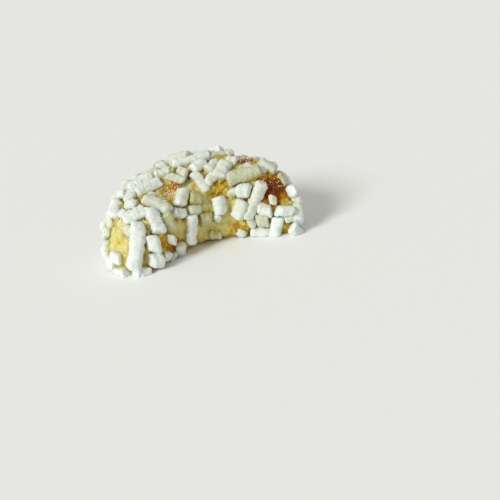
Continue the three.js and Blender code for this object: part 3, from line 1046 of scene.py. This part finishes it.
nothing_else = bpy.data.objects.new("nothing_else", bpy.data.meshes.new("nothing_else"))
sugar_grain = lumpy_ball("sugar_grain", subdivisions=1, roughness=SUGAR_ROUGHNESS, seed=2.0)
crumb_grain = lumpy_ball("crumb", subdivisions=2, roughness=CRUMB_ROUGHNESS, seed=5.0)
for name, second, grain_object, where, density, sizes, finish in (
    (
        "sugar_grains", nut_slivers, sugar_grain, "sugared", SUGAR_DENSITY, SUGAR_GRAINS,
        sifted_sugar,
    ),
    ("dough_crumbs", nothing_else, crumb_grain, "crumbed", CRUMB_DENSITY, CRUMBS, baked_crust),
):
    piece = bpy.data.objects.new(name, bpy.data.meshes.new(name))
    bpy.context.scene.collection.objects.link(piece)
    grow(piece, scatter, scatter_inputs, {
        "Surface": dough, "Second Surface": second, "Grain": grain_object, "Where": where,
        "Density": density / MM**2, "Smallest": sizes[0] * MM, "Largest": sizes[1] * MM,
        "Seed": SCATTER_SEED, "Finish": finish,
    })
    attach(piece, "root")
    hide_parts("crescent_cookie")

# ---- The studio ---------------------------------------------------------------------------------
# A pale matt table top, a broad soft light in front and to the camera's left, and an even white
# room. The camera looks from the photograph's side, and its distance is a guess.

CAMERA_TURN, CAMERA_RISE, CAMERA_ROLL = -19.08, 23.85, -6.85
CAMERA_DISTANCE = 450
FIELD_WIDTH = 148.5  # across the picture, as far off as the point aimed at
AIMED_AT = (1.04, -6.723, 6.838)
AIMED_PIXEL = (205.2, 222.3)  # where that point shows
PICTURE_SIZE = 500
SENSOR_WIDTH = 36
NEAREST_SEEN = 0.01  # metres
TABLE_SIZE = 6  # metres
TABLE_WHITE, TABLE_ROUGHNESS = "#f4f4f6", 0.9
SUN_HEADING, SUN_HEIGHT = -70, 33
SUN_STRENGTH, SUN_SPREAD = 2.3, 22
SUN_TINT = (0.98, 1.0, 0.97)  # linear shares of red, green and blue
ROOM_WHITE, ROOM_STRENGTH = "#f6f5eb", 0.53

turn, rise, camera_roll = (math.radians(v) for v in (CAMERA_TURN, CAMERA_RISE, CAMERA_ROLL))
backward = np.array(
    (math.sin(turn) * math.cos(rise), -math.cos(turn) * math.cos(rise), math.sin(rise))
)
level_right = np.array((math.cos(turn), math.sin(turn), 0))
level_up = np.cross(backward, level_right)
right = level_right * math.cos(camera_roll) + level_up * math.sin(camera_roll)
up = level_up * math.cos(camera_roll) - level_right * math.sin(camera_roll)
pixel = FIELD_WIDTH / PICTURE_SIZE
aside = (AIMED_PIXEL[0] - PICTURE_SIZE / 2) * pixel
above = (PICTURE_SIZE / 2 - AIMED_PIXEL[1]) * pixel
stand = np.array(AIMED_AT) - right * aside - up * above + backward * CAMERA_DISTANCE
camera_data = bpy.data.cameras.new("camera")
camera_data.sensor_width = SENSOR_WIDTH
camera_data.lens = SENSOR_WIDTH * CAMERA_DISTANCE / FIELD_WIDTH
camera_data.clip_start = NEAREST_SEEN
camera = bpy.data.objects.new("camera", camera_data)
pose = Matrix((right, up, backward)).transposed().to_4x4()
pose.translation = Vector(stand * MM)
camera.matrix_world = pose
bpy.context.scene.collection.objects.link(camera)
bpy.context.scene.camera = camera

floor_mesh = bpy.data.meshes.new("table_top")
half = TABLE_SIZE / 2
floor_mesh.from_pydata(
    [(-half, -half, 0), (half, -half, 0), (half, half, 0), (-half, half, 0)], [], [(0, 1, 2, 3)]
)
pale_matt_paint = bpy.data.materials.new("pale_matt_paint")
pale_matt_paint.use_nodes = True
paint = pale_matt_paint.node_tree.nodes["Principled BSDF"]
paint.inputs["Base Color"].default_value = linear(TABLE_WHITE)
paint.inputs["Roughness"].default_value = TABLE_ROUGHNESS
floor_mesh.materials.append(pale_matt_paint)
floor = bpy.data.objects.new("table_top", floor_mesh)
bpy.context.scene.collection.objects.link(floor)
floor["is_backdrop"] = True

sun_data = bpy.data.lights.new("soft_key", "SUN")
sun_data.energy = SUN_STRENGTH
sun_data.angle = math.radians(SUN_SPREAD)
sun_data.color = SUN_TINT
sun = bpy.data.objects.new("soft_key", sun_data)
heading, height = math.radians(SUN_HEADING), math.radians(SUN_HEIGHT)
toward_sun = Vector(
    (math.sin(heading) * math.cos(height), -math.cos(heading) * math.cos(height), math.sin(height))
)
sun.rotation_euler = toward_sun.to_track_quat("Z", "Y").to_euler()
bpy.context.scene.collection.objects.link(sun)

room = bpy.data.worlds.new("white_room")
room.use_nodes = True
background = room.node_tree.nodes["Background"]
background.inputs["Color"].default_value = linear(ROOM_WHITE)
background.inputs["Strength"].default_value = ROOM_STRENGTH
bpy.context.scene.world = room
bpy.context.scene.view_settings.view_transform = "Standard"

sizes = {"cad": cad_box, "visual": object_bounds()}
